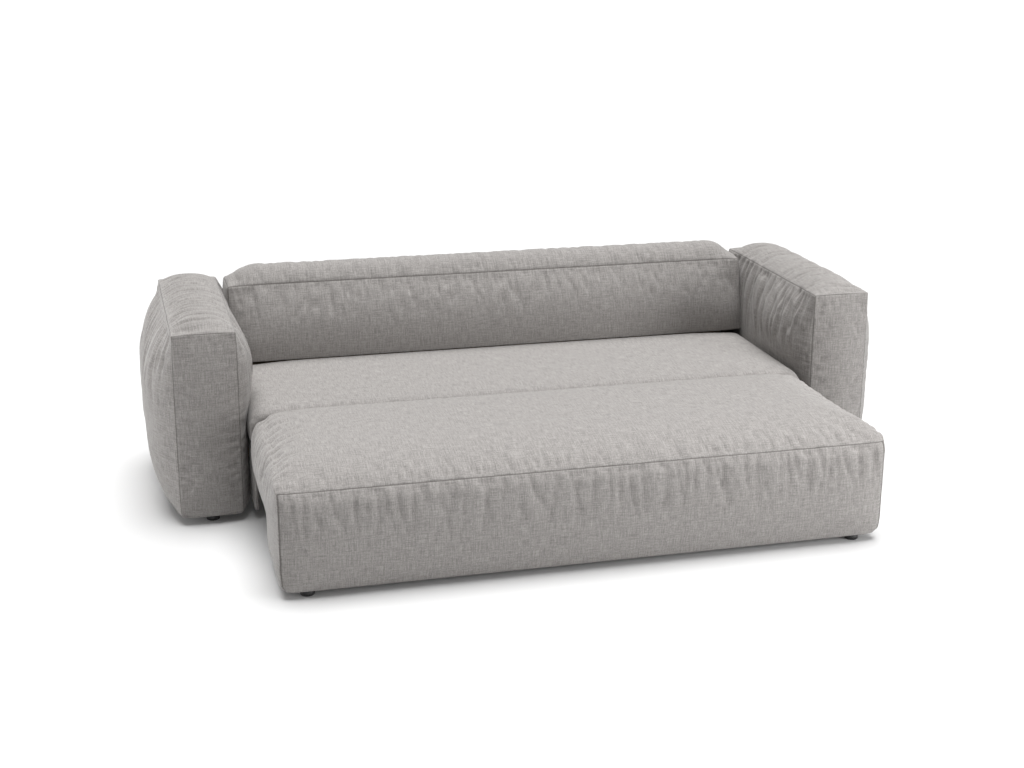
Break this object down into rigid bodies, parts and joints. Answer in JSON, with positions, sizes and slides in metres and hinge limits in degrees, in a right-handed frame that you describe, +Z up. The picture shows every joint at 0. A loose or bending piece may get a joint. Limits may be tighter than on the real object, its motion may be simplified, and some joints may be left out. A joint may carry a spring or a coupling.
{
  "type": "sofa bed",
  "caption": "Wide two-armed fabric sofa bed opened flat, with a crowned front seat block on low round feet, a rear seat section and a padded backrest.",
  "frame": {"origin": "on the floor, under the middle of the whole object in the bed pose", "axes": "+X to the right as seen from the foot of the bed, +Y towards the backrest, +Z up"},
  "size_m": [2.7, 1.549, 0.7248],
  "materials": {
    "upholstery": "light grey melange linen-like weave",
    "timber": "plain pine and plywood",
    "slat_wood": "bent birch slats",
    "black_steel": "black powder coat",
    "zinc_steel": "zinc plated",
    "foot_plastic": "matte black",
    "webbing": "elastic webbing",
    "dust_cloth": "black non-woven cloth"
  },
  "bodies": {
    "sofa_base": {"arm_feet": "foot_plastic", "back_board": "timber", "back_cover": "upholstery", "back_feet": "foot_plastic", "backrest_angles": "zinc_steel", "backrest_cover": "upholstery", "backrest_frame": "timber", "backrest_webbing": "webbing", "left_arm_cover": "upholstery", "left_arm_frame": "timber", "left_lift_bracket": "black_steel", "left_lift_pins": "zinc_steel", "left_side_panel": "upholstery", "left_spacers": "timber", "left_swing_bracket": "black_steel", "left_swing_pins": "zinc_steel", "right_arm_cover": "upholstery", "right_arm_frame": "timber", "right_lift_bracket": "black_steel", "right_lift_pins": "zinc_steel", "right_side_panel": "upholstery", "right_spacers": "timber", "right_swing_bracket": "black_steel", "right_swing_pins": "zinc_steel", "tie_bars": "black_steel"},
    "front_swing": {"left_front_swing_arm": "black_steel", "right_front_swing_arm": "black_steel"},
    "rear_swing": {"left_rear_swing_arm": "black_steel", "right_rear_swing_arm": "black_steel"},
    "block": {"block_box": "timber", "block_cover": "upholstery", "block_deck_frame": "timber", "block_dust_cloth": "dust_cloth", "block_feet": "foot_plastic", "block_slats": "slat_wood", "left_block_bracket": "black_steel", "right_block_bracket": "black_steel"},
    "front_lift": {"left_front_lift_link": "black_steel", "right_front_lift_link": "black_steel"},
    "rear_lift": {"left_rear_lift_link": "black_steel", "right_rear_lift_link": "black_steel"},
    "rear_section": {"left_rear_pins": "zinc_steel", "rear_cushion": "upholstery", "rear_frame": "timber", "rear_slats": "slat_wood", "right_rear_pins": "zinc_steel"}
  },
  "joints": [
    {"name": "block_swing", "type": "hinge", "parent": "sofa_base", "child": "front_swing", "pos_m": [0, -0.0305, 0.099], "axis": [-1, 0, 0], "range_deg": [0, 140]},
    {"name": "rear_swing_hinge", "type": "hinge", "parent": "sofa_base", "child": "rear_swing", "pos_m": [0, 0.0895, 0.099], "axis": [-1, 0, 0], "range_deg": [0, 140]},
    {"name": "block_levelling", "type": "hinge", "parent": "front_swing", "child": "block", "pos_m": [0, -0.3205, 0.20455], "axis": [-1, 0, 0], "range_deg": [-140, 0]},
    {"name": "front_lift_hinge", "type": "hinge", "parent": "sofa_base", "child": "front_lift", "pos_m": [0, 0.1495, 0.05], "axis": [-1, 0, 0], "range_deg": [0, 90]},
    {"name": "rear_lift_hinge", "type": "hinge", "parent": "sofa_base", "child": "rear_lift", "pos_m": [0, 0.4095, 0.05], "axis": [-1, 0, 0], "range_deg": [0, 90]},
    {"name": "rear_levelling", "type": "hinge", "parent": "front_lift", "child": "rear_section", "pos_m": [0, 0.1495, 0.27], "axis": [-1, 0, 0], "range_deg": [-90, 0]}
  ],
  "couplings": [
    {"joint": "rear_swing_hinge", "follows": "block_swing", "ratio": 1},
    {"joint": "block_levelling", "follows": "block_swing", "ratio": -1},
    {"joint": "front_lift_hinge", "follows": "block_swing", "ratio": 0.64286},
    {"joint": "rear_lift_hinge", "follows": "block_swing", "ratio": 0.64286},
    {"joint": "rear_levelling", "follows": "block_swing", "ratio": -0.64286}
  ]
}
